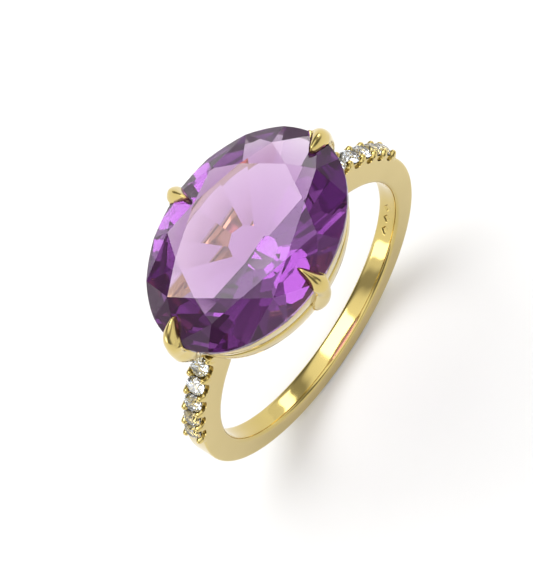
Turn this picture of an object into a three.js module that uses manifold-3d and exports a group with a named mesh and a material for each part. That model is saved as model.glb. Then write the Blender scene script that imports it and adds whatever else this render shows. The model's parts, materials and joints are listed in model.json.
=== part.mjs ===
// Cocktail ring: an oval brilliant held by four claws over a two-rail basket, on a slim hoop whose
// shoulders carry five small round stones each.
// Millimetres, +Z up. Y is the finger's axis, and X lies in the hoop's plane, along the long side of the
// centre stone. Each piece is drawn about the centre of the finger hole, and the last lines lift the
// whole ring so that the lowest point of the hoop is the origin.

import * as THREE from "three";
import { mergeVertices } from "three/addons/utils/BufferGeometryUtils.js";
import Module from "manifold-3d";

const wasm = await Module();
wasm.setup();

// ---- Driving dimensions ---------------------------------------------------------------------------

const GAP = 0.02; // solder and setting clearance between neighbouring pieces
const DEGREE = Math.PI / 180;

const hoop = {
  fingerRadius: 8.65, // a finger hole 17.3 mm across
  width: 1.4, // along the finger
  baseThickness: 1.5, // radial, at the bottom of the hoop
  gentleRise: 0.35, // radial growth that sets in early, towards the shoulders
  steepRise: 0.6, // radial growth that comes just below the basket
  crestAngle: 52, // degrees above horizontal where the shoulders leave the round
  endAngle: 60, // degrees above horizontal where the hoop stops under the basket
  edgeRound: 0.12,
};

const stone = {
  halfLength: 7,
  halfWidth: 4.95,
  girdleHeight: 13.65, // above the finger's axis
  halfGirdle: 0.2, // half the thickness of the rim, where it is widest
  crown: 1.48,
  table: 0.64, // radius of the table's corners, as a share of the stone's
  starTip: 0.8, // radius where the star facets end
  rimSides: 64,
  rimSlope: 41, // slopes of the pavilion's three rows of facets, in degrees across the stone
  middleSlope: 41,
  keelSlope: 27,
  middleStart: 0.7, // radius where the middle row starts
  keelStart: 0.3, // and where the keel's facets start
  keel: 0.3, // half length of the ridge along the bottom
};

const accent = {
  halfLength: 0.6,
  halfWidth: 0.6,
  halfGirdle: 0.03,
  crown: 0.2,
  pavilion: 0.5,
  table: 0.57,
  starTip: 0.78,
  lowerTip: 0.25,
  rimSides: 16,
};

const pave = {
  count: 5, // stones on each shoulder
  firstAngle: 51, // degrees above horizontal, next to the basket
  pitchAngle: 7.6,
  stoneLift: 0.13, // girdle above the metal
  beadRadius: 0.22,
  beadAside: 0.46, // from the hoop's middle plane
  beadLength: 0.4, // straight part of each bead's post, centred on the metal's surface
  scallopRadius: 0.42,
  scallopDepth: 0.22, // into each side face
  drillRadius: 0.28, // the hole behind each stone, through to the finger
};

const basket = {
  topHeight: 13.35,
  bottomHeight: 9.1,
  topInset: 0.08, // outer wall inside the stone's outline, at the top
  bottomInset: 0.92, // and at the bottom
  wall: 0.75,
  upperRailBottom: 11.45,
  lowerRailTop: 10.9,
};

const claw = {
  tipInset: 1.05, // how far it reaches in over the crown
  tipThickness: 0.32,
  domeShare: 0.35, // how much the flanks fall away from the ridge
};

const endClaw = {
  reach: stone.halfLength,
  bulge: 0.42, // how far it stands out of the stone's outline at the girdle
  belly: 0.6, // how far it hangs out over its foot
  width: 1.2,
  tipWidthShare: 0.4,
  footWidthShare: 0.95,
  tipLean: -0.55, // how far its tip is moved sideways
  girdleLean: -0.12, // the same where it passes the girdle
  footLean: 0, // and at its foot
  foot: new THREE.Vector2(7.15, 9.6),
};

const sideClaw = {
  reach: stone.halfWidth,
  bulge: 0.42,
  belly: 0.35,
  width: 1.05,
  tipWidthShare: 0.25,
  footWidthShare: 0.6,
  tipLean: 0,
  girdleLean: 0,
  footLean: -0.7,
  foot: new THREE.Vector2(4.3, 9.7),
};

// ---- Materials ------------------------------------------------------------------------------------

const gold = new THREE.MeshStandardMaterial({ color: 0xdfc47c, roughness: 0.18, metalness: 1 });
const purple = new THREE.MeshStandardMaterial({ color: 0x8a4fae, roughness: 0.03, metalness: 0 });
const clear = new THREE.MeshStandardMaterial({ color: 0xf4f6fa, roughness: 0.03, metalness: 0 });

// ---- Solids and meshes ----------------------------------------------------------------------------

function solidOf(geometry) {
  const bare = geometry.clone();
  bare.deleteAttribute("normal");
  bare.deleteAttribute("uv");
  const merged = mergeVertices(bare, 1e-5);
  return new wasm.Manifold(
    new wasm.Mesh({
      numProp: 3,
      vertProperties: merged.attributes.position.array,
      triVerts: new Uint32Array(merged.index.array),
    }),
  );
}

function geometryOf(solid) {
  const { vertProperties, triVerts } = solid.getMesh();
  const shared = new THREE.BufferGeometry();
  shared.setAttribute("position", new THREE.BufferAttribute(vertProperties, 3));
  shared.setIndex(new THREE.BufferAttribute(triVerts, 1));
  const faceted = shared.toNonIndexed();
  faceted.computeVertexNormals();
  return faceted;
}

function namedMesh(name, geometry, material) {
  const mesh = new THREE.Mesh(geometry, material);
  mesh.name = name;
  return mesh;
}

// Moves every vertex of a geometry to where the given function puts it.
function reshape(geometry, place) {
  const position = geometry.attributes.position;
  const vertex = new THREE.Vector3();
  for (let i = 0; i < position.count; i++) {
    vertex.fromBufferAttribute(position, i);
    place(vertex);
    position.setXYZ(i, vertex.x, vertex.y, vertex.z);
  }
  return geometry;
}

// ---- Faceted stones -------------------------------------------------------------------------------

// The block that one lap of the grinding wheel takes off: everything beyond the plane that holds the
// points (radius, height) `from` and `to` in the vertical plane at `angle`, and is level across it.
function facetCutter(angle, from, to, side) {
  const size = 40;
  const along = new THREE.Vector2(to[0] - from[0], to[1] - from[1]).normalize();
  const tilt = Math.atan2(along.y, along.x);
  const block = new THREE.BoxGeometry(size, size, size);
  block.translate(0, 0, (side * size) / 2);
  block.rotateY(-tilt);
  block.translate(from[0], 0, from[1]);
  block.rotateZ(angle);
  return solidOf(block);
}

// A stone is ground from a blank of radius 1 with its girdle plane at z = 0, then stretched to its length
// and width, which keeps every facet flat. Each facet is [angle, from, to, side] for the cutter.
function grindStone(cut, bottom, facets) {
  const height = cut.halfGirdle + cut.crown - bottom;
  const blank = new THREE.CylinderGeometry(1, 1, height, cut.rimSides);
  blank.rotateX(Math.PI / 2);
  blank.rotateZ(Math.PI / 2);
  blank.translate(0, 0, bottom + height / 2);
  let solid = solidOf(blank);
  for (const facet of facets) {
    solid = solid.subtract(facetCutter(...facet));
  }
  return geometryOf(solid).scale(cut.halfLength, cut.halfWidth, 1);
}

const EIGHTH = 45 * DEGREE;
const halfCosine = Math.cos(EIGHTH / 2);
const quarterCosine = Math.cos(EIGHTH / 4);

// Eight main facets, eight stars along the table and sixteen facets along the girdle.
function crownFacets(cut) {
  const top = cut.halfGirdle + cut.crown;
  const starTipHeight = cut.halfGirdle + (cut.crown * (1 - cut.starTip * halfCosine)) / (1 - cut.table);
  const facets = [];
  for (let k = 0; k < 8; k++) {
    const main = k * EIGHTH;
    facets.push([main, [cut.table, top], [1, cut.halfGirdle], 1]);
    facets.push([main + EIGHTH / 2, [cut.table * halfCosine, top], [cut.starTip, starTipHeight], 1]);
    for (const turn of [EIGHTH / 4, (3 * EIGHTH) / 4]) {
      const from = [cut.starTip * quarterCosine, starTipHeight];
      facets.push([main + turn, from, [quarterCosine, cut.halfGirdle], 1]);
    }
  }
  return facets;
}

function roundBrilliant(cut) {
  const bottom = -cut.halfGirdle - cut.pavilion;
  const lowerTipHeight = -cut.halfGirdle - cut.pavilion * (1 - cut.lowerTip * halfCosine);
  const facets = crownFacets(cut);
  for (let k = 0; k < 8; k++) {
    facets.push([k * EIGHTH, [0, bottom], [1, -cut.halfGirdle], -1]);
    for (const turn of [EIGHTH / 4, (3 * EIGHTH) / 4]) {
      const from = [cut.lowerTip * quarterCosine, lowerTipHeight];
      facets.push([k * EIGHTH + turn, from, [quarterCosine, -cut.halfGirdle], -1]);
    }
  }
  return grindStone(cut, bottom, facets);
}

// The centre stone's pavilion comes down in two rows of sixteen facets to eight flatter ones, which
// meet in a short ridge along the stone instead of a point.
function pavilionHeights(cut) {
  const drop = (slope, from, to) => (from - to) * cut.halfWidth * Math.tan(slope * DEGREE);
  const rim = -cut.halfGirdle;
  const middle = rim - drop(cut.rimSlope, 1, cut.middleStart);
  const keelRow = middle - drop(cut.middleSlope, cut.middleStart, cut.keelStart);
  const bottom = keelRow - drop(cut.keelSlope, cut.keelStart, 0);
  return { rim, middle, keelRow, bottom };
}

function ovalWithKeel(cut) {
  const { rim, middle, keelRow, bottom } = pavilionHeights(cut);
  const facets = crownFacets(cut);
  for (let k = 0; k < 16; k++) {
    const turn = (k * EIGHTH) / 2;
    const from = [cut.middleStart * quarterCosine, middle];
    facets.push([turn + EIGHTH / 4, from, [quarterCosine, rim], -1]);
    facets.push([turn, [cut.keelStart, keelRow], [cut.middleStart, middle], -1]);
  }
  for (let k = 0; k < 8; k++) {
    const offset = cut.keel * Math.abs(Math.cos(k * EIGHTH));
    facets.push([k * EIGHTH, [offset, bottom], [offset + cut.keelStart, keelRow], -1]);
  }
  return grindStone(cut, bottom, facets);
}

// The centre stone grown by the clearance, for cutting its bearing in the rail and the claws.
function centreSeat(geometry) {
  const growth = 1 + GAP / stone.halfWidth;
  const depthGrowth = 1 + (2 * GAP) / -pavilionHeights(stone).bottom;
  return geometry.clone().scale(growth, growth, depthGrowth);
}

// The burr that cuts an accent stone's seat: a cone below the girdle and a flatter one above it.
function accentBurr() {
  const burrSides = 12;
  const radius = (accent.halfWidth + GAP) / Math.cos(Math.PI / burrSides);
  const burr = new THREE.LatheGeometry(
    [
      new THREE.Vector2(0, -accent.halfGirdle - accent.pavilion - 2 * GAP),
      new THREE.Vector2(radius, -accent.halfGirdle),
      new THREE.Vector2(radius, accent.halfGirdle + GAP),
      new THREE.Vector2(radius * accent.starTip, accent.crown),
      new THREE.Vector2(0, accent.crown + 2 * accent.pavilion),
    ],
    burrSides,
  );
  return burr.rotateX(Math.PI / 2);
}

// ---- Basket ---------------------------------------------------------------------------------------

// A ring with a constant section round an oval. Each profile point is [distance outside the stone's
// outline, height], listed anticlockwise.
function ovalRing(profile) {
  const steps = 64;
  const { halfLength: a, halfWidth: b } = stone;
  const closed = [...profile, profile[0]];
  const turned = new THREE.LatheGeometry(
    closed.map(([out, height]) => new THREE.Vector2(a + out, height)),
    steps,
  );
  turned.rotateX(Math.PI / 2);
  return reshape(turned, (v) => {
    const angle = Math.atan2(v.y, v.x);
    const out = Math.hypot(v.x, v.y) - a;
    const normal = new THREE.Vector2(Math.cos(angle) / a, Math.sin(angle) / b).normalize();
    v.x = a * Math.cos(angle) + normal.x * out;
    v.y = b * Math.sin(angle) + normal.y * out;
  });
}

// Distance of the basket's outer wall outside the stone's outline, negative because it tapers inwards.
function wallAt(height) {
  const share = (basket.topHeight - height) / (basket.topHeight - basket.bottomHeight);
  return -THREE.MathUtils.lerp(basket.topInset, basket.bottomInset, share);
}

function railProfile(bottom, top) {
  return [
    [wallAt(bottom) - basket.wall, bottom],
    [wallAt(bottom), bottom],
    [wallAt(top), top],
    [wallAt(top) - basket.wall, top],
  ];
}

// Everything within the basket's outer wall, grown by the clearance, so claws and hoop stay outside it.
function basketRoom() {
  const depth = 2.4;
  const low = basket.bottomHeight - GAP;
  const high = stone.girdleHeight;
  return solidOf(
    ovalRing([
      [wallAt(low) - depth, low],
      [wallAt(low) + GAP, low],
      [wallAt(high) + GAP, high],
      [wallAt(high) - depth, high],
    ]),
  );
}

// ---- Claws ----------------------------------------------------------------------------------------

// Height of the crown's main facet above a point that lies `inset` inside the stone's outline.
function crownHeight(reach, inset) {
  const slope = stone.crown / ((1 - stone.table) * reach);
  return stone.girdleHeight + stone.halfGirdle + slope * inset;
}

// One claw, seen from its side: x is the distance from the ring's centre line, y the height.
function clawOutline({ reach, bulge, belly, foot }) {
  const girdle = stone.girdleHeight;
  const outer = reach + bulge;
  const tipReach = reach - claw.tipInset;
  const tipUnder = crownHeight(reach, claw.tipInset);
  const crest = tipUnder + claw.tipThickness;
  const rootDepth = 1.4; // how far the raw claw runs into the basket before it is cut to fit
  const outline = new THREE.Shape();
  outline.moveTo(foot.x, foot.y);
  outline.bezierCurveTo(foot.x + belly, foot.y + 0.6, outer + 0.25, girdle - 1.4, outer, girdle);
  outline.bezierCurveTo(outer, girdle + 0.7, outer - 0.4, crest + 0.05, reach - 0.3, crest + 0.05);
  outline.lineTo(tipReach, crest - 0.1);
  outline.lineTo(tipReach, tipUnder - 0.1);
  outline.lineTo(reach - rootDepth, girdle - 0.6);
  outline.lineTo(foot.x - rootDepth, foot.y);
  return outline;
}

function clawSolid(shape, angle) {
  const slices = 4;
  const raw = new THREE.ExtrudeGeometry(clawOutline(shape), {
    depth: shape.width,
    steps: slices,
    curveSegments: 6,
    bevelEnabled: false,
  });
  raw.rotateX(Math.PI / 2);
  raw.translate(0, shape.width / 2, 0);
  const heart = new THREE.Vector2(shape.reach - 0.3, stone.girdleHeight + 0.3);
  const shaped = reshape(raw, (v) => {
    const side = (2 * v.y) / shape.width;
    const shrink = 1 - claw.domeShare * side * side;
    const level = Math.min(v.z, heart.y);
    const overStone = THREE.MathUtils.smoothstep(shape.reach + 0.4 - v.x, 0, 1.3);
    const towardsFoot = THREE.MathUtils.smoothstep(stone.girdleHeight - v.z, 0, 4);
    const above = v.z > stone.girdleHeight;
    const progress = above ? overStone : towardsFoot;
    const lean = above ? shape.tipLean : shape.footLean;
    const widthShare = above ? shape.tipWidthShare : shape.footWidthShare;
    v.x = heart.x + (v.x - heart.x) * shrink;
    v.z = level + (v.z - level) * shrink;
    v.y *= THREE.MathUtils.lerp(1, widthShare, progress);
    v.y += THREE.MathUtils.lerp(shape.girdleLean, lean, progress);
  });
  return solidOf(shaped.rotateZ(angle));
}

// ---- Hoop -----------------------------------------------------------------------------------------

// Outer radius of the hoop at an angle, in degrees above horizontal: it thickens towards the basket.
function outerRadius(angle) {
  const share = (angle + 90) / 145;
  const base = hoop.fingerRadius + hoop.baseThickness;
  return base + hoop.gentleRise * share ** 2 + hoop.steepRise * share ** 8;
}

function polar(radius, degrees) {
  return new THREE.Vector2(radius * Math.cos(degrees * DEGREE), radius * Math.sin(degrees * DEGREE));
}

// The hoop seen along the finger: a circle inside, the rising shoulders outside, open under the stone.
function hoopOutline(shoulderTop) {
  const rimSteps = 60;
  const outline = new THREE.Shape();
  const start = polar(hoop.fingerRadius, hoop.endAngle);
  const mirrored = (point) => new THREE.Vector2(-point.x, point.y);
  const shelf = new THREE.Vector2(polar(outerRadius(0), hoop.endAngle).x, shoulderTop.y);
  outline.moveTo(start.x, start.y);
  outline.lineTo(shelf.x, shelf.y);
  outline.lineTo(shoulderTop.x, shoulderTop.y);
  for (let i = 0; i <= rimSteps; i++) {
    const turn = THREE.MathUtils.lerp(hoop.crestAngle, -180 - hoop.crestAngle, i / rimSteps);
    const climb = turn < -90 ? -180 - turn : turn;
    const point = polar(outerRadius(climb), turn);
    outline.lineTo(point.x, point.y);
  }
  outline.lineTo(-shoulderTop.x, shoulderTop.y);
  outline.lineTo(-shelf.x, shelf.y);
  const end = mirrored(start);
  outline.lineTo(end.x, end.y);
  const endTurn = (180 - hoop.endAngle) * DEGREE;
  outline.absarc(0, 0, hoop.fingerRadius, endTurn, 2 * Math.PI + hoop.endAngle * DEGREE, false);
  return outline;
}

function hoopBlank(shoulderTop) {
  const raw = new THREE.ExtrudeGeometry(hoopOutline(shoulderTop), {
    depth: hoop.width - 2 * hoop.edgeRound,
    curveSegments: 56,
    bevelThickness: hoop.edgeRound,
    bevelSize: hoop.edgeRound,
    bevelOffset: -hoop.edgeRound,
    bevelSegments: 1,
  });
  raw.rotateX(Math.PI / 2);
  raw.translate(0, hoop.width / 2 - hoop.edgeRound, 0);
  return solidOf(raw);
}

// Puts a geometry whose own +Z points outwards on the hoop at an angle above horizontal.
function onHoop(geometry, degrees, lift, aside, side) {
  const radius = outerRadius(degrees) + lift;
  const spot = polar(radius, degrees);
  return geometry
    .clone()
    .rotateY((90 - degrees) * DEGREE * side)
    .translate(spot.x * side, aside, spot.y);
}

function accentAngle(index) {
  return pave.firstAngle - index * pave.pitchAngle;
}

// Beads between neighbouring stones and at the row's ends, on both edges.
function addBeads(body, side) {
  const bead = new THREE.CapsuleGeometry(pave.beadRadius, pave.beadLength, 2, 8);
  bead.rotateX(Math.PI / 2);
  for (let i = 0; i <= pave.count; i++) {
    for (const aside of [-pave.beadAside, pave.beadAside]) {
      const placed = onHoop(bead, accentAngle(i - 0.5), 0, aside, side);
      body = body.add(solidOf(placed));
    }
  }
  return body;
}

// Each stone's seat, the drilled hole behind it and the scallops that open it to both side faces.
function cutSettings(body, side) {
  const burr = accentBurr();
  const drillLength = 4;
  const drill = new THREE.CylinderGeometry(pave.drillRadius, pave.drillRadius, drillLength, 10);
  drill.rotateX(Math.PI / 2);
  drill.translate(0, 0, -drillLength / 2);
  const scallopLength = 1;
  const { scallopRadius } = pave;
  const scallop = new THREE.CylinderGeometry(scallopRadius, scallopRadius, scallopLength, 12);
  for (let i = 0; i < pave.count; i++) {
    const angle = accentAngle(i);
    body = body.subtract(solidOf(onHoop(burr, angle, pave.stoneLift, 0, side)));
    body = body.subtract(solidOf(onHoop(drill, angle, 0, 0, side)));
    for (const edge of [-1, 1]) {
      const aside = edge * (hoop.width / 2 - pave.scallopDepth + scallopLength / 2);
      body = body.subtract(solidOf(onHoop(scallop, angle, 0, aside, side)));
    }
  }
  return body;
}

// ---- Assembly -------------------------------------------------------------------------------------

const centreGeometry = ovalWithKeel(stone);
const bearing = solidOf(centreSeat(centreGeometry).translate(0, 0, stone.girdleHeight));
const accentGeometry = roundBrilliant(accent);
const room = basketRoom();

// The end claws spring from the top of the shoulders, the side claws from the lower rail.
const shoulderTop = endClaw.foot.clone();
shoulderTop.y -= GAP;
const claws = {
  claw_right: clawSolid(endClaw, 0),
  claw_rear: clawSolid(sideClaw, Math.PI / 2),
  claw_left: clawSolid(endClaw, Math.PI),
  claw_front: clawSolid(sideClaw, -Math.PI / 2),
};

let shank = hoopBlank(shoulderTop);
for (const side of [-1, 1]) {
  shank = cutSettings(addBeads(shank, side), side);
}
shank = shank.subtract(room);

const upperRail = solidOf(ovalRing(railProfile(basket.upperRailBottom, basket.topHeight)));
const lowerRail = ovalRing(railProfile(basket.bottomHeight, basket.lowerRailTop));

const pieces = new THREE.Group();
pieces.position.z = outerRadius(-90);
pieces.add(namedMesh("shank", geometryOf(shank), gold));
pieces.add(namedMesh("upper_rail", geometryOf(upperRail.subtract(bearing)), gold));
pieces.add(namedMesh("lower_rail", lowerRail, gold));
for (const [name, solid] of Object.entries(claws)) {
  pieces.add(namedMesh(name, geometryOf(solid.subtract(room).subtract(bearing)), gold));
}
const centreStone = namedMesh("centre_stone", centreGeometry, purple);
centreStone.position.z = stone.girdleHeight;
pieces.add(centreStone);
for (const [word, side] of [["left", -1], ["right", 1]]) {
  for (let i = 0; i < pave.count; i++) {
    const placed = onHoop(accentGeometry, accentAngle(i), pave.stoneLift, 0, side);
    pieces.add(namedMesh(`accent_stone_${word}_${i + 1}`, placed, clear));
  }
}

const ring = new THREE.Group();
ring.add(pieces);

export default ring;
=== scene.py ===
"""The looks of the cocktail ring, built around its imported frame.

The gold pieces are rebuilt as fine meshes where the frame says, and the stones keep their packed facets.
Shapes are worked out in millimetres and written to the meshes in metres.
"""

import json
import math

import bpy
import numpy as np
from mathutils import Matrix, Vector
from mathutils.bvhtree import BVHTree


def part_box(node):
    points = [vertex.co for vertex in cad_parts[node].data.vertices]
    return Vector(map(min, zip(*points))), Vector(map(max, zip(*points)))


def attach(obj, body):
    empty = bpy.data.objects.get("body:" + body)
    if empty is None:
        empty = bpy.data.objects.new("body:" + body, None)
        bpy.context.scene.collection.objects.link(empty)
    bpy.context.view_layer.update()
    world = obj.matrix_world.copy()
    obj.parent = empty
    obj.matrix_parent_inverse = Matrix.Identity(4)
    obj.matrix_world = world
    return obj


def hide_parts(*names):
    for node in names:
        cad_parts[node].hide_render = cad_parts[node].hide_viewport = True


MM = 0.001

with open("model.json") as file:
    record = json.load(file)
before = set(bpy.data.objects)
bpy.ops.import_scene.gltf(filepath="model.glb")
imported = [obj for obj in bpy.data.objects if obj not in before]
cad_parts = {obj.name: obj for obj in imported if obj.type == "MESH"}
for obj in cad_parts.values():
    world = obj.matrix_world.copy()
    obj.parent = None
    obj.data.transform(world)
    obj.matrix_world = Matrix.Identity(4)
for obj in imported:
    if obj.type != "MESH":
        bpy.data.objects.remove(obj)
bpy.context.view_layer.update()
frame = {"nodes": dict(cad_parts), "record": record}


# ---- What the frame says, in millimetres ----------------------------------------------------------


def box_mm(node):
    low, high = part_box(node)
    return np.array(low) / MM, np.array(high) / MM


def vertices_mm(node):
    return np.array([v.co for v in frame["nodes"][node].data.vertices]) / MM


def hole_height():
    """Height of the finger hole's centre, from the opening that the record states."""
    low, high = frame["record"]["physics"]["openings"][0]["box_m"]
    return (low[2] + high[2]) / 2 / MM


def finger_radius():
    points = vertices_mm("shank")
    return np.hypot(points[:, 0], points[:, 2] - HOLE_Z).min()


def wall_line():
    """Slope and offset of the basket's outer wall: distance outside the stone's outline against height."""
    upper, lower = box_mm("upper_rail")[1], box_mm("lower_rail")[1]
    slope = (upper[0] - lower[0]) / (upper[2] - lower[2])
    return slope, upper[0] - STONE_A - slope * upper[2]


RIM_SHARE = 0.999  # points of the stone that stand this far out belong to its girdle

HOLE_Z = hole_height()
FINGER_R = finger_radius()
BASE_T = HOLE_Z - FINGER_R  # the hoop stands on z = 0
HALF_W = box_mm("shank")[1][1]
STONE_A, STONE_B = box_mm("centre_stone")[1][:2]
UPPER_LOW, UPPER_HIGH = box_mm("upper_rail")[0][2], box_mm("upper_rail")[1][2]
LOWER_LOW, LOWER_HIGH = box_mm("lower_rail")[0][2], box_mm("lower_rail")[1][2]
SHOULDER_TOP = box_mm("shank")[1][2]
WALL_SLOPE, WALL_OFFSET = wall_line()


def girdle_height():
    points = vertices_mm("centre_stone")
    rim = points[np.abs(points[:, 0]) > RIM_SHARE * STONE_A]
    return (rim[:, 2].min() + rim[:, 2].max()) / 2


GIRDLE_Z = girdle_height()


def stone_surface():
    """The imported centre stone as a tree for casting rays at, in millimetres."""
    mesh = frame["nodes"]["centre_stone"].data
    points = [v.co / MM for v in mesh.vertices]
    return BVHTree.FromPolygons(points, [p.vertices for p in mesh.polygons])


STONE = stone_surface()


# ---- Small helpers --------------------------------------------------------------------------------


def smoothstep(x):
    x = np.clip(x, 0, 1)
    return x * x * (3 - 2 * x)


def lerp(a, b, share):
    return a + (b - a) * share


def through(stations, values, where):
    """A smooth curve through a few values, without overshoot, evaluated at `where`."""
    stations, values = np.asarray(stations, float), np.asarray(values, float)
    secant = np.diff(values) / np.diff(stations)
    tangent = np.zeros(len(values))
    same = secant[:-1] * secant[1:] > 0
    inner = np.zeros(len(secant) - 1)
    inner[same] = 2 * secant[:-1][same] * secant[1:][same] / (secant[:-1] + secant[1:])[same]
    tangent[1:-1] = inner
    tangent[0], tangent[-1] = secant[0], secant[-1]
    i = np.clip(np.searchsorted(stations, where, side="right") - 1, 0, len(secant) - 1)
    step = stations[i + 1] - stations[i]
    t = (where - stations[i]) / step
    return (
        values[i] * (1 + 2 * t) * (1 - t) ** 2
        + tangent[i] * step * t * (1 - t) ** 2
        + values[i + 1] * t * t * (3 - 2 * t)
        + tangent[i + 1] * step * t * t * (t - 1)
    )


def loft(name, points, closed, crease_degrees=35):
    """A closed mesh from rings of points: shape (rings, points per ring, 3). Open lofts get end faces.

    Edges that turn by more than the crease angle are shaded sharp.
    """
    rings, around = points.shape[:2]
    faces = []
    for i in range(rings if closed else rings - 1):
        here, there = i * around, (i + 1) % rings * around
        for j in range(around):
            k = (j + 1) % around
            faces.append((here + j, here + k, there + k, there + j))
    if not closed:
        faces.append(tuple(range(around))[::-1])
        faces.append(tuple(range((rings - 1) * around, rings * around)))
    mesh = bpy.data.meshes.new(name)
    mesh.from_pydata((points.reshape(-1, 3) * MM).tolist(), [], faces)
    mesh.update()
    if signed_volume(mesh) < 0:
        mesh.flip_normals()
    mesh.shade_smooth()
    mesh.set_sharp_from_angle(angle=math.radians(crease_degrees))
    piece = bpy.data.objects.new(name, mesh)
    bpy.context.scene.collection.objects.link(piece)
    return piece


def signed_volume(mesh):
    mesh.calc_loop_triangles()
    corners = np.array([[mesh.vertices[i].co for i in t.vertices] for t in mesh.loop_triangles])
    return np.einsum("ij,ij->i", corners[:, 0], np.cross(corners[:, 1], corners[:, 2])).sum()


def stand_for(piece, node, material):
    """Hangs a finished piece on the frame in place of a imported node."""
    piece.data.materials.append(material)
    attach(piece, "root")
    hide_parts(node)


# ---- Hoop -----------------------------------------------------------------------------------------

BOTTOM, TOP = -90.0, 90.0  # all turn angles are in degrees, from +X towards the top
RISE_SPAN = 145.0  # from the bottom up to where the hoop is thickest
GENTLE_RISE = 0.35  # thickening that starts near the bottom
GENTLE_POWER = 2
STEEP_RISE = 0.6  # thickening just before the shoulder
STEEP_POWER = 8
CREST_ANGLE = 54.6  # where the shoulder turns up to the basket
FOOT_ANGLE = 56.2  # where it has reached the platform under the claw
END_ANGLE = 60.0  # where the hoop ends under the rail
RAIL_GAP = 0.02  # between the shoulder's shelf and the rail on it
SHELF_TURN = 0.6  # width of the step from platform to shelf
OUTER_ROUND = 0.11
INNER_ROUND = 0.17
COMFORT = 0.03  # how much the inside face falls back towards its edges
COMFORT_POWER = 4

SEAT_R = 0.6  # the conical seats under the small stones
SEAT_DEPTH = 0.5
SEAT_RIM = 0.1
BEAD_R = 0.2
BEAD_RISE = 0.2  # height of a bead's post under its rounded head
BEAD_FOOT = 0.34  # radius that the post spreads to at its foot
BEAD_HOLLOW = 1.5  # how hollow that spread is
BEAD_ASIDE = 0.48
SCALLOP_R = 0.46  # the hollows in the shoulder's edges beside each stone
SCALLOP_DEEP = 0.27
SCALLOP_IN = 0.13
SCALLOP_EDGE = 0.07
PAVE_FADE = 4.0  # how far past the crest the relief has faded out

MARK_ANGLES = (-20.0, -27.0, -34.0)  # three plain punched lozenges inside the hoop
MARK_HALF = (0.42, 0.27)
MARK_DEPTH = 0.07
MARK_EDGE = 0.35  # width of a mark's sloping edge, as a share of its size

PAVE_MARGIN = 4.0  # extra length of fine sections past the last bead
MARK_MARGIN = 6.0
FINE_STEP = 0.23  # between cross-sections at the stones
MARK_STEP = 0.33
PLAIN_STEP = 1.5

INSIDE_POINTS = 24  # points along each stretch of a cross-section
ROUND_POINTS = 5
SIDE_POINTS = 8
CORNER_POINTS = 8
TOP_POINTS = 24


def outer_radius(climb):
    """Outer radius of the plain hoop at an angle in degrees above horizontal."""
    share = (climb - BOTTOM) / RISE_SPAN
    return FINGER_R + BASE_T + GENTLE_RISE * share**GENTLE_POWER + STEEP_RISE * np.abs(share) ** STEEP_POWER


def shoulder_radius(climb):
    """The same with the platform on top that carries the end claw and the lower rail."""
    sine = np.sin(np.radians(np.maximum(climb, 1)))
    platform = SHOULDER_TOP - HOLE_Z
    under_rail = LOWER_LOW - HOLE_Z - RAIL_GAP
    rail_reach = STONE_A + WALL_SLOPE * SHOULDER_TOP + WALL_OFFSET
    rail_angle = math.degrees(math.atan2(platform, rail_reach))
    step = smoothstep((climb - rail_angle) / SHELF_TURN + 0.5)
    shelf = lerp(platform, under_rail, step) / sine
    rise = smoothstep((climb - CREST_ANGLE) / (FOOT_ANGLE - CREST_ANGLE))
    return lerp(outer_radius(climb), shelf, rise)


def accent_places():
    """Turn angle of each accent stone round the hoop, in degrees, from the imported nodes."""
    turns = []
    for node in sorted(frame["nodes"]):
        if node.startswith("accent_stone"):
            low, high = box_mm(node)
            x, _, z = (low + high) / 2
            turn = math.degrees(math.atan2(z - HOLE_Z, x))
            turns.append(turn if turn < TOP else turn - 360)
    return np.array(sorted(turns))


def bead_places(turns):
    """Turn angles halfway between neighbouring stones, and half a pitch beyond each row's ends."""
    places = []
    for row in (turns[turns < BOTTOM], turns[turns > BOTTOM]):
        pitch = (row[-1] - row[0]) / (len(row) - 1)
        places.extend(np.append(row - pitch / 2, row[-1] + pitch / 2))
    return np.array(places)


STONE_TURNS = accent_places()
BEAD_TURNS = bead_places(STONE_TURNS)


def shank_turns():
    """Where the shank's cross-sections stand: close together at the stones and the punched marks."""
    pave_low = BEAD_TURNS[BEAD_TURNS > BOTTOM].min() - PAVE_MARGIN
    marks = [MARK_ANGLES[0] + MARK_MARGIN, MARK_ANGLES[-1] - MARK_MARGIN]
    stops = [END_ANGLE, pave_low, *marks, 2 * BOTTOM - pave_low, 2 * BOTTOM - END_ANGLE]
    steps = [FINE_STEP, PLAIN_STEP, MARK_STEP, PLAIN_STEP, FINE_STEP]
    parts = []
    for start, stop, step in zip(stops, stops[1:], steps):
        parts.append(np.linspace(start, stop, int((start - stop) / step), endpoint=False))
    return np.append(np.concatenate(parts), stops[-1])


def pave_relief(arc_turn, radius, y):
    """Height of the setting's relief over the plain metal: seats go down, beads stand up."""
    height = np.zeros(np.broadcast(arc_turn, y).shape)
    for turn in STONE_TURNS:
        away = np.hypot(np.radians(arc_turn - turn) * radius, y)
        seat = SEAT_DEPTH * (1 - away / SEAT_R) - SEAT_RIM
        height = np.minimum(height, -np.maximum(seat, 0))
    for turn in BEAD_TURNS:
        for aside in (-BEAD_ASIDE, BEAD_ASIDE):
            away = np.hypot(np.radians(arc_turn - turn) * radius, y - aside)
            head = BEAD_RISE + np.sqrt(np.clip(BEAD_R**2 - away**2, 0, None))
            spread = np.clip((BEAD_FOOT - away) / (BEAD_FOOT - BEAD_R), 0, 1)
            post = BEAD_RISE * spread**BEAD_HOLLOW
            bead = np.where(away < BEAD_R, head, post)
            height = np.where(away < BEAD_FOOT, np.maximum(height, bead), height)
    return height


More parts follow.
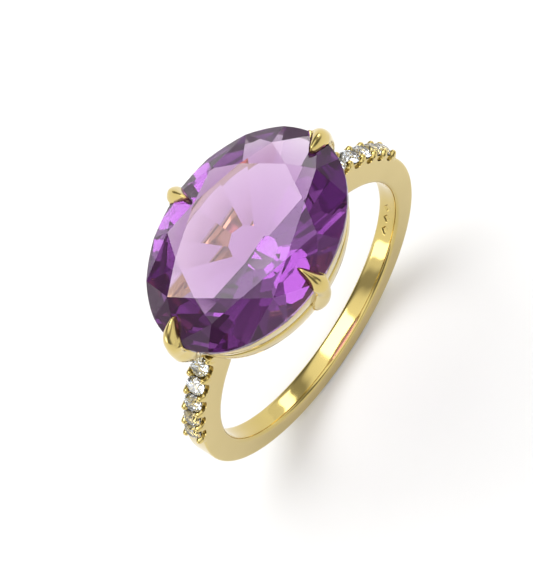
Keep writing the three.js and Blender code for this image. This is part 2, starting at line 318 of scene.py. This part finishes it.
def punched_marks(turns, y):
    """Depth of the plain lozenges punched inside the hoop."""
    depth = np.zeros(np.broadcast(turns, y).shape)
    for turn in MARK_ANGLES:
        along = np.abs(np.radians(turns - turn) * FINGER_R) / MARK_HALF[0]
        depth += MARK_DEPTH * smoothstep((1 - along - np.abs(y) / MARK_HALF[1]) / MARK_EDGE)
    return depth


def corner_path(scallop_depth, weight):
    """Distance in from the side face and depth below the top, from the side up to the top face."""
    k = np.arange(CORNER_POINTS + 1) / CORNER_POINTS
    turn = k * math.pi / 2
    arc_in = OUTER_ROUND * (1 - np.cos(turn))
    arc_down = OUTER_ROUND * (1 - np.sin(turn))
    ledge_in = SCALLOP_IN * np.minimum(2 * k, 1)
    ledge_down = scallop_depth * np.minimum(2 - 2 * k, 1)
    return lerp(arc_in, ledge_in, weight), lerp(arc_down, ledge_down, weight)


def shank_sections(turns):
    """All cross-sections at once, as radius and y of each point."""
    turns = turns[:, None]
    climb = np.where(turns > BOTTOM, turns, 2 * BOTTOM - turns)
    outer = shoulder_radius(climb)
    plain = outer_radius(climb)

    nearest = np.abs(turns - STONE_TURNS[None, :]).min(axis=1)[:, None]
    along = np.radians(nearest) * plain
    weight = smoothstep((SCALLOP_R - along) / SCALLOP_EDGE)
    bowl = SCALLOP_DEEP * np.sqrt(np.clip(1 - (along / SCALLOP_R) ** 2, 0, None))
    scallop_depth = np.maximum(bowl, OUTER_ROUND)
    corner_in, corner_down = corner_path(scallop_depth, weight)

    flat = HALF_W - INNER_ROUND
    inner_y = np.linspace(flat, -flat, INSIDE_POINTS)[None, :] * np.ones_like(turns)
    inner_r = FINGER_R + COMFORT * (inner_y / flat) ** COMFORT_POWER + punched_marks(turns, inner_y)
    bend = np.linspace(0, math.pi / 2, ROUND_POINTS)[None, :]
    low_y = -(flat + INNER_ROUND * np.sin(bend)) * np.ones_like(turns)
    low_r = FINGER_R + COMFORT + INNER_ROUND * (1 - np.cos(bend)) + 0 * turns
    rise = np.linspace(0, 1, SIDE_POINTS + 2)[None, 1:-1]
    side_r = lerp(low_r[:, -1:], outer - corner_down[:, :1], rise)
    side_y = -HALF_W * np.ones_like(side_r)
    corner_y = -(HALF_W - corner_in)
    corner_r = outer - corner_down
    edge = HALF_W - corner_in[:, -1:]
    top_y = edge * np.linspace(-1, 1, TOP_POINTS + 2)[None, 1:-1]
    top_r = outer + 0 * top_y

    upper_y = np.hstack([corner_y, top_y, -corner_y[:, ::-1]])
    upper_r = np.hstack([corner_r, top_r, corner_r[:, ::-1]])
    on_pave = smoothstep(CREST_ANGLE + PAVE_FADE - climb)
    relief = on_pave * pave_relief(turns, plain, upper_y)
    upper_r = np.where(relief > 0, np.maximum(upper_r, plain + relief), upper_r + relief)

    y = np.hstack([inner_y, low_y[:, 1:], side_y, upper_y, -side_y[:, ::-1], -low_y[:, :0:-1]])
    radius = np.hstack([inner_r, low_r[:, 1:], side_r, upper_r, side_r[:, ::-1], low_r[:, :0:-1]])
    return radius, y


def build_shank(material):
    turns = shank_turns()
    radius, y = shank_sections(turns)
    angle = np.radians(turns)[:, None]
    points = np.stack([radius * np.cos(angle), y, HOLE_Z + radius * np.sin(angle)], axis=2)
    stand_for(loft("shank_cast", points, closed=False), "shank", material)


# ---- Basket rails ---------------------------------------------------------------------------------

RAIL_WALL = 0.75
RAIL_ROUND = 0.13
RAIL_STEPS = 240
ROUND_STEPS = 5  # points round each corner of a rail's section
SIDE_SHARES = (0.25, 0.5, 0.75)  # points along each of its sides
UPPER_BELLY = 0.06  # how far each rail's outer wall swells
LOWER_BELLY = 0.08
CLEARANCE = 0.015  # from the metal to the centre stone


def wall_at(height):
    """Distance of the basket's outer wall outside the stone's outline, negative below the girdle."""
    return WALL_SLOPE * height + WALL_OFFSET


def oval(angles, out):
    """Points at a distance outside the stone's outline, with the outward normal."""
    cos, sin = np.cos(angles), np.sin(angles)
    normal = np.stack([cos / STONE_A, sin / STONE_B], axis=-1)
    normal /= np.linalg.norm(normal, axis=-1, keepdims=True)
    rim = np.stack([STONE_A * cos, STONE_B * sin], axis=-1)
    return rim + normal * np.asarray(out)[..., None], normal


def stone_reach(angle, height):
    """How far the stone reaches at a height, as a distance outside its outline."""
    start, normal = oval(np.array(angle), np.array(1.0))
    origin = Vector((start[0], start[1], height))
    hit = STONE.ray_cast(origin, Vector((-normal[0], -normal[1], 0)))
    return -STONE_B if hit[0] is None else 1 - hit[3]


def rounded_section(corners, radius):
    """A closed outline whose corners are rounded, with extra points along its sides."""
    corners = np.array(corners, float)
    outline = []
    for i, corner in enumerate(corners):
        before, after = corners[i - 1] - corner, corners[(i + 1) % len(corners)] - corner
        start = corner + before / np.linalg.norm(before) * radius
        stop = corner + after / np.linalg.norm(after) * radius
        for t in np.linspace(0, 1, ROUND_STEPS):
            outline.append((1 - t) ** 2 * start + 2 * t * (1 - t) * corner + t * t * stop)
        following = corners[(i + 1) % len(corners)]
        side_end = following - after / np.linalg.norm(after) * radius
        for t in SIDE_SHARES:
            outline.append(lerp(stop, side_end, t))
    return np.array(outline)


def build_rail(node, low, high, belly, material):
    """One oval rail: its outer wall swells by `belly`, and its inside clears the stone's pavilion."""
    section = rounded_section(
        [
            (wall_at(low), low),
            (wall_at(high), high),
            (wall_at(high) - RAIL_WALL, high),
            (wall_at(low) - RAIL_WALL, low),
        ],
        radius=RAIL_ROUND,
    )
    share = (section[:, 1] - low) / (high - low)
    outer_side = smoothstep((section[:, 0] - wall_at(section[:, 1])) / (0.5 * RAIL_WALL) + 1)
    out = section[:, 0] + belly * outer_side * 4 * share * (1 - share)
    angles = np.linspace(0, 2 * math.pi, RAIL_STEPS, endpoint=False)
    points = np.zeros((RAIL_STEPS, len(section), 3))
    for i, angle in enumerate(angles):
        clear = np.array([stone_reach(angle, height) for height in section[:, 1]]) + CLEARANCE
        spots, _ = oval(np.full(len(section), angle), np.maximum(out, clear))
        points[i, :, :2] = spots
        points[i, :, 2] = section[:, 1]
    stand_for(loft(node + "_cast", points, closed=True), node, material)


# ---- Claws ----------------------------------------------------------------------------------------

CLAW_ROOT = 0.15  # how deep a claw is let into the basket's wall
CLAW_STATIONS = 110
CLAW_AROUND = 29  # points across the outside of a claw
CLAW_CREASE = 50  # degrees
CLAW_SKIN = 0.05  # least thickness at a claw's edges, as a share of its full thickness
HUG_START, HUG_SPAN = 0.15, 0.7  # below the girdle, where a claw closes in on the basket's wall
RIM_SPAN = 0.6  # height over which a claw's inside climbs the girdle
RIDGE_POWER = 1.6  # shape of a claw's cross-section where it is a ridge
SWEEP_START = 0.5  # where the sweep into the rail starts, as a share of the half width
FLARE_FULL = 0.3  # flare at which the sweep is at full height
FLARE_HEIGHT = 0.6  # of the sweep, as a share of the claw's thickness
FLARE_POWER = 2.2
FLARE_BLEND = 0.12  # how softly the claw's body runs into the sweep
FLARE_BEHIND = 0.2  # flare on a claw's far side, as a share of its near side
FLATTEN = 0.4  # how much less a claw's tip follows the rail's bend than its foot does
TIP_SPAN = 0.5  # length over the crown on which that change takes place
CROWN_PROBES = (0.1, 1.1)  # distances in from the outline where the crown's height is measured
PROBE_START = 10.0  # above the girdle, clear of the stone

# A claw's cross-sections from its foot to its tip. Its inside leans on the basket and the stone: the
# first value is a height below the girdle when it is negative, and a distance in over the crown when it
# is positive. Its back stands at the next two: distance outside the stone's outline, and height over the
# girdle. Then come the half width, sideways lean, width of the flare into the rail, and roundness.
SIDE_CLAW = (
    (-4.0, -0.62, -4.05, 0.12, -0.82, 0.0, 1.0),
    (-3.4, -0.28, -3.5, 0.3, -0.7, 0.03, 1.0),
    (-2.6, 0.12, -2.7, 0.42, -0.48, 0.08, 1.0),
    (-1.7, 0.4, -1.8, 0.49, -0.24, 0.1, 1.0),
    (-0.9, 0.53, -0.95, 0.53, -0.08, 0.1, 1.0),
    (-0.2, 0.54, -0.1, 0.54, 0.0, 0.08, 1.0),
    (0.15, 0.4, 0.52, 0.49, 0.0, 0.04, 0.9),
    (0.45, 0.06, 0.97, 0.38, 0.0, 0.0, 0.8),
    (0.75, -0.4, 1.26, 0.26, -0.02, 0.0, 0.7),
    (1.0, -0.8, 1.42, 0.15, -0.04, 0.0, 0.7),
    (1.14, -1.08, 1.36, 0.05, -0.05, 0.0, 0.7),
)
END_CLAW = (
    (-4.05, -0.45, -4.0, 0.45, 0.0, 0.1, 1.0),
    (-3.4, -0.1, -3.45, 0.54, -0.02, 0.25, 1.0),
    (-2.5, 0.34, -2.6, 0.6, -0.05, 0.5, 1.0),
    (-1.6, 0.62, -1.7, 0.62, -0.1, 0.6, 1.0),
    (-0.8, 0.64, -0.8, 0.61, -0.17, 0.5, 1.0),
    (-0.1, 0.54, 0.0, 0.58, -0.24, 0.25, 1.0),
    (0.25, 0.34, 0.58, 0.52, -0.33, 0.08, 1.0),
    (0.52, 0.0, 0.96, 0.44, -0.42, 0.0, 0.95),
    (0.8, -0.45, 1.18, 0.34, -0.5, 0.0, 0.9),
    (1.05, -0.88, 1.26, 0.21, -0.56, 0.0, 0.9),
    (1.2, -1.15, 1.1, 0.07, -0.58, 0.0, 0.9),
)


def crown_line(reach, angle):
    """Height where the crown starts and its slope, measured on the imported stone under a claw."""
    heights = []
    for inset in CROWN_PROBES:
        x, y = (reach - inset) * math.cos(angle), (reach - inset) * math.sin(angle)
        hit = STONE.ray_cast(Vector((x, y, GIRDLE_Z + PROBE_START)), Vector((0, 0, -1)))
        heights.append(hit[0].z - GIRDLE_Z)
    slope = (heights[1] - heights[0]) / (CROWN_PROBES[1] - CROWN_PROBES[0])
    return heights[0] - CROWN_PROBES[0] * slope, slope


def claw_inside(place, rim, slope):
    """The line a claw leans on: let into the wall below the girdle, and resting on the crown above it."""
    below = np.minimum(place, 0)
    over = np.maximum(place, 0)
    hug = smoothstep((-place - HUG_START) / HUG_SPAN)
    wall = lerp(CLEARANCE, wall_at(GIRDLE_Z + below) - CLAW_ROOT, hug)
    out = np.where(place < 0, wall, CLEARANCE - over)
    up = below + rim * smoothstep(1 + place / RIM_SPAN) + slope * over
    return out, up


def claw_profile(across, half, flare, roundness):
    """Share of the thickness at each point across: a ridge or dome, with a hollow sweep at its sides."""
    away = np.abs(across)
    inside = np.clip(away / half, 0, 1)
    body = lerp(1 - inside**RIDGE_POWER, np.sqrt(1 - inside**2), roundness)
    amount = smoothstep(flare / FLARE_FULL)
    run = (away - SWEEP_START * half) / ((1 - SWEEP_START) * half + flare)
    sweep = FLARE_HEIGHT * amount * np.clip(1 - run, 0, 1) ** FLARE_POWER
    joined = (body + sweep + np.sqrt((body - sweep) ** 2 + (FLARE_BLEND * amount) ** 2)) / 2
    return lerp(CLAW_SKIN, 1, np.minimum(joined, 1))


def claw_points(rows, reach, bend, angle):
    """All cross-sections of a claw whose wall bends away with the given radius."""
    rows = np.array(rows)
    rim, slope = crown_line(reach, angle)
    order = np.arange(len(rows))
    where = np.linspace(0, len(rows) - 1, CLAW_STATIONS)
    place, back_out, back_up, half, lean, flare, roundness = (
        through(order, column, where)[:, None] for column in rows.T
    )
    out, up = claw_inside(place, rim, slope)

    s = np.sin(np.linspace(-math.pi / 2, math.pi / 2, CLAW_AROUND))[None, :]
    flare = np.where(s > 0, flare, FLARE_BEHIND * flare)
    across = s * (half + flare)
    height = claw_profile(across, half, flare, roundness)
    across = np.hstack([across, across[:, -2:0:-1]])
    height = np.hstack([height, np.zeros_like(height[:, 2:])])

    across = across + lean
    sag = across**2 / (2 * bend) * (1 - FLATTEN * smoothstep(place / TIP_SPAN))
    outward = reach - sag + lerp(out, back_out, height)
    upward = GIRDLE_Z + lerp(up, back_up, height)
    x = outward * math.cos(angle) - across * math.sin(angle)
    y = outward * math.sin(angle) + across * math.cos(angle)
    return np.stack([x, y, upward], axis=2)


def build_claw(node, rows, reach, bend, angle, material):
    points = claw_points(rows, reach, bend, angle)
    stand_for(loft(node + "_cast", points, closed=False, crease_degrees=CLAW_CREASE), node, material)


# ---- Materials ------------------------------------------------------------------------------------

PAINTED_SHADE_REACH = 0.5  # how far the painted shade in corners and gaps between parts reaches
LAPPING_DEPTH = 0.6e-6  # metres
BACK_FACING = -0.1  # facets turned further down than this belong to a small stone's back
PURPLE_DENSITY = 335  # per metre
BODY_SHARE = 0.055  # light that the purple stone's body scatters back
QUARTZ_IOR = 1.544
CLEAR_IOR = 2.15
GEM_HAZE = 0.01  # roughness where the polishing lap left traces


def new_material(name):
    material = bpy.data.materials.new(name)
    material.use_nodes = True
    tree = material.node_tree
    return material, tree, tree.nodes["Principled BSDF"]


def noise(tree, scale, detail=3.0):
    """A noise texture in the part's own coordinates; the scale is in features per metre."""
    place = tree.nodes.new("ShaderNodeTexCoord")
    texture = tree.nodes.new("ShaderNodeTexNoise")
    texture.inputs["Scale"].default_value = scale
    texture.inputs["Detail"].default_value = detail
    tree.links.new(place.outputs["Object"], texture.inputs["Vector"])
    return texture.outputs["Fac"]


def ramp(tree, value, stops):
    """Maps a value to colours or greys through (position, colour) stops."""
    node = tree.nodes.new("ShaderNodeValToRGB")
    elements = node.color_ramp.elements
    while len(elements) < len(stops):
        elements.new(0.5)
    for element, (position, colour) in zip(elements, stops):
        element.position = position
        element.color = (*colour, 1)
    tree.links.new(value, node.inputs["Fac"])
    return node.outputs["Color"]


def blend(tree, how, share, first, second):
    """Mixes two colours; the share is a number or another node's output."""
    mix = tree.nodes.new("ShaderNodeMix")
    mix.data_type = "RGBA"
    mix.blend_type = how
    if isinstance(share, float):
        mix.inputs["Factor"].default_value = share
    else:
        tree.links.new(share, mix.inputs["Factor"])
    for value, slot in ((first, "A"), (second, "B")):
        if isinstance(value, tuple):
            mix.inputs[slot].default_value = (*value, 1)
        else:
            tree.links.new(value, mix.inputs[slot])
    return mix.outputs["Result"]


def add_bump(tree, shader, value, height):
    bump = tree.nodes.new("ShaderNodeBump")
    bump.inputs["Strength"].default_value = 1.0
    bump.inputs["Distance"].default_value = height
    tree.links.new(value, bump.inputs["Height"])
    tree.links.new(bump.outputs["Normal"], shader.inputs["Normal"])


def gold_material():
    """Polished pale gold: colour drift in the plating, painted shade darkening its corners, polishing haze,
    lapping marks.
    """
    material, tree, shader = new_material("polished_gold")
    shader.inputs["Metallic"].default_value = 1.0
    tint = ramp(tree, noise(tree, 180), [(0.35, (0.6, 0.47, 0.165)), (0.65, (0.64, 0.505, 0.19))])
    # Painted shade: the base colour is darkened where ambient occlusion finds corners and gaps between
    # parts.
    corner = tree.nodes.new("ShaderNodeAmbientOcclusion")
    corner.inputs["Distance"].default_value = PAINTED_SHADE_REACH * MM
    shade = ramp(tree, corner.outputs["AO"], [(0.2, (0.22, 0.18, 0.1)), (0.75, (1.0,) * 3)])
    tree.links.new(blend(tree, "MULTIPLY", 1.0, tint, shade), shader.inputs["Base Color"])
    haze = ramp(tree, noise(tree, 900, 6), [(0.3, (0.07,) * 3), (0.75, (0.14,) * 3)])
    tree.links.new(haze, shader.inputs["Roughness"])
    add_bump(tree, shader, noise(tree, 2500, 4), LAPPING_DEPTH)
    return material


def add_absorption(material, density, colour):
    tree = material.node_tree
    volume = tree.nodes.new("ShaderNodeVolumeAbsorption")
    volume.inputs["Color"].default_value = (*colour, 1)
    volume.inputs["Density"].default_value = density
    tree.links.new(volume.outputs["Volume"], tree.nodes["Material Output"].inputs["Volume"])


def gem_material(name, ior, tint_low, tint_high):
    """A polished stone, with faint colour zones in its skin and traces of the polishing lap."""
    material, tree, shader = new_material(name)
    shader.inputs["Transmission Weight"].default_value = 1.0
    shader.inputs["IOR"].default_value = ior
    zones = ramp(tree, noise(tree, 150), [(0.3, tint_low), (0.7, tint_high)])
    tree.links.new(zones, shader.inputs["Base Color"])
    trace = ramp(tree, noise(tree, 1500, 5), [(0.4, (0.0,) * 3), (0.8, (GEM_HAZE,) * 3)])
    tree.links.new(trace, shader.inputs["Roughness"])
    return material


def purple_material():
    """Purple quartz: light is soaked up along its path, and a little is scattered back by the body."""
    material = gem_material("purple_quartz", QUARTZ_IOR, (0.93, 0.88, 0.96), (1.0, 0.97, 1.0))
    add_absorption(material, PURPLE_DENSITY, (0.585, 0.265, 0.66))
    tree = material.node_tree
    body = tree.nodes.new("ShaderNodeBsdfDiffuse")
    veil = ramp(tree, noise(tree, 120), [(0.3, (0.46, 0.07, 0.4)), (0.7, (0.5, 0.1, 0.52))])
    tree.links.new(veil, body.inputs["Color"])
    mix = tree.nodes.new("ShaderNodeMixShader")
    mix.inputs["Fac"].default_value = BODY_SHARE
    tree.links.new(tree.nodes["Principled BSDF"].outputs["BSDF"], mix.inputs[1])
    tree.links.new(body.outputs["BSDF"], mix.inputs[2])
    tree.links.new(mix.outputs["Shader"], tree.nodes["Material Output"].inputs["Surface"])
    return material


def clear_material():
    return gem_material("clear_stone", CLEAR_IOR, (0.9, 0.94, 1.0), (1.0, 1.0, 1.0))


def silvered_material():
    """The backs of the small stones, which throw all light up again as a well cut stone does."""
    material, tree, shader = new_material("bright_back")
    shader.inputs["Metallic"].default_value = 1.0
    shader.inputs["Roughness"].default_value = 0.03
    tint = ramp(tree, noise(tree, 1200), [(0.3, (0.85, 0.89, 0.96)), (0.7, (0.96, 0.98, 1.0))])
    tree.links.new(tint, shader.inputs["Base Color"])
    return material


def dress_accent(piece, front, back):
    """Clear facets above the girdle and bright ones below it, by which way each faces along the radius."""
    points = np.array([v.co for v in piece.data.vertices])
    middle = (points.min(axis=0) + points.max(axis=0)) / 2
    outward = np.array([middle[0], 0, middle[2] - HOLE_Z * MM])
    piece.data.materials.append(front)
    piece.data.materials.append(back)
    for polygon in piece.data.polygons:
        facing = np.dot(polygon.normal, outward) / np.linalg.norm(outward)
        polygon.material_index = int(facing < BACK_FACING)


# ---- Stage, lights and camera ---------------------------------------------------------------------

VIEW_AZIMUTH = -17.3  # the photograph's viewing angle, about the finger hole's centre
VIEW_ELEVATION = 68.9
VIEW_ROLL = 39.86
VIEW_DISTANCE = 200.0
VIEW_OFFSET = (-2.08, 1.204)  # the camera's place right of and above the hole's centre
LENS = 213.4
SENSOR = 36.0
CLIP_START = 0.01  # metres

FLOOR_HALF = 1.5  # metres
FLOOR_DROP = 0.05 * MM
LAMP_DISTANCE = 0.5  # metres
CARDS = ((-150.0, 13.0), (-48.0, 12.0), (62.0, 14.0), (112.0, 16.0))  # azimuth, elevation
CARD_EDGE = (0.85, 0.98)  # cosine of the angle from a card's middle, outside and inside its soft edge
CARD_SHADE = 0.2


def direction(azimuth, elevation):
    """Unit vector towards a compass angle, measured from +X anticlockwise, and an elevation."""
    a, e = math.radians(azimuth), math.radians(elevation)
    return Vector((math.cos(a) * math.cos(e), math.sin(a) * math.cos(e), math.sin(e)))


def build_floor():
    mesh = bpy.data.meshes.new("studio_floor")
    corners = [(x * FLOOR_HALF, y * FLOOR_HALF, 0) for x, y in ((-1, -1), (1, -1), (1, 1), (-1, 1))]
    mesh.from_pydata(corners, [], [(0, 1, 2, 3)])
    floor = bpy.data.objects.new("studio_floor", mesh)
    floor.location.z = -FLOOR_DROP
    bpy.context.scene.collection.objects.link(floor)
    material, tree, shader = new_material("pale_floor")
    tint = ramp(tree, noise(tree, 20), [(0.3, (0.9,) * 3), (0.7, (0.93,) * 3)])
    tree.links.new(tint, shader.inputs["Base Color"])
    shader.inputs["Roughness"].default_value = 0.9
    mesh.materials.append(material)


def add_softbox(name, azimuth, elevation, width, height, strength):
    """A rectangular white lamp facing the ring. Strength is its brightness."""
    lamp = bpy.data.lights.new(name, "AREA")
    lamp.shape = "RECTANGLE"
    lamp.size, lamp.size_y = width, height
    lamp.energy = strength * math.pi * width * height
    box = bpy.data.objects.new(name, lamp)
    toward = direction(azimuth, elevation)
    box.location = toward * LAMP_DISTANCE + Vector((0, 0, HOLE_Z * MM))
    box.rotation_euler = toward.to_track_quat("Z", "Y").to_euler()
    bpy.context.scene.collection.objects.link(box)


def add_card(tree, sight, light, azimuth, elevation):
    """Darkens the tent around one direction, as a dark card does that gives polished metal its lines."""
    dot = tree.nodes.new("ShaderNodeVectorMath")
    dot.operation = "DOT_PRODUCT"
    dot.inputs[1].default_value = direction(azimuth, elevation)
    tree.links.new(sight, dot.inputs[0])
    stops = [(CARD_EDGE[0], (1.0,) * 3), (CARD_EDGE[1], (CARD_SHADE,) * 3)]
    shade = ramp(tree, dot.outputs["Value"], stops)
    return blend(tree, "MULTIPLY", 1.0, light, shade)


def build_world():
    """A white tent: bright near the horizon, a darker belt above it, and bright again overhead.

    The camera itself sees plain white where it looks past the floor.
    """
    world = bpy.data.worlds.new("light_tent")
    world.use_nodes = True
    bpy.context.scene.world = world
    tree = world.node_tree
    place = tree.nodes.new("ShaderNodeTexCoord")
    split = tree.nodes.new("ShaderNodeSeparateXYZ")
    tree.links.new(place.outputs["Generated"], split.inputs["Vector"])
    belt = [
        (0.0, (1.05,) * 3),
        (0.38, (1.05,) * 3),
        (0.47, (0.46, 0.45, 0.44)),
        (0.64, (0.42, 0.41, 0.4)),
        (0.76, (1.25,) * 3),
        (1.0, (1.5,) * 3),
    ]
    tent = ramp(tree, split.outputs["Z"], belt)
    for azimuth, elevation in CARDS:
        tent = add_card(tree, place.outputs["Generated"], tent, azimuth, elevation)
    sight = tree.nodes.new("ShaderNodeLightPath")
    tent = blend(tree, "MIX", sight.outputs["Is Camera Ray"], tent, (1.0,) * 3)
    background = tree.nodes["Background"]
    tree.links.new(tent, background.inputs["Color"])
    background.inputs["Strength"].default_value = 1.0


def build_lights():
    add_softbox("overhead_softbox", 95, 66, 0.32, 0.32, 3.1)
    add_softbox("left_softbox", 165, 6, 0.3, 0.14, 2.6)
    add_softbox("right_softbox", 15, 20, 0.25, 0.12, 2.8)


def build_camera():
    camera = bpy.data.objects.new("camera", bpy.data.cameras.new("camera"))
    camera.data.lens = LENS
    camera.data.sensor_width = SENSOR
    camera.data.clip_start = CLIP_START
    back = direction(VIEW_AZIMUTH - 90, VIEW_ELEVATION)
    level = back.to_track_quat("Z", "Y").to_matrix()
    turn = level @ Matrix.Rotation(-math.radians(VIEW_ROLL), 3, "Z")
    right, up = turn.col[0], turn.col[1]
    place = back * VIEW_DISTANCE + right * VIEW_OFFSET[0] + up * VIEW_OFFSET[1]
    camera.matrix_world = Matrix.Translation((place + Vector((0, 0, HOLE_Z))) * MM) @ turn.to_4x4()
    bpy.context.scene.collection.objects.link(camera)
    bpy.context.scene.camera = camera


# ---- Assembly -------------------------------------------------------------------------------------

gold = gold_material()
build_shank(gold)
build_rail("upper_rail", UPPER_LOW, UPPER_HIGH, UPPER_BELLY, gold)
build_rail("lower_rail", LOWER_LOW, LOWER_HIGH, LOWER_BELLY, gold)
end_bend = STONE_B**2 / STONE_A
side_bend = STONE_A**2 / STONE_B
build_claw("claw_right", END_CLAW, STONE_A, end_bend, 0, gold)
build_claw("claw_left", END_CLAW, STONE_A, end_bend, math.pi, gold)
build_claw("claw_rear", SIDE_CLAW, STONE_B, side_bend, math.pi / 2, gold)
build_claw("claw_front", SIDE_CLAW, STONE_B, side_bend, -math.pi / 2, gold)

stone = frame["nodes"]["centre_stone"]
stone.data.materials.clear()
stone.data.materials.append(purple_material())
front, back = clear_material(), silvered_material()
for node, piece in frame["nodes"].items():
    if node.startswith("accent_stone"):
        piece.data.materials.clear()
        dress_accent(piece, front, back)

build_floor()
build_world()
build_lights()
build_camera()
bpy.context.scene.view_settings.view_transform = "Standard"
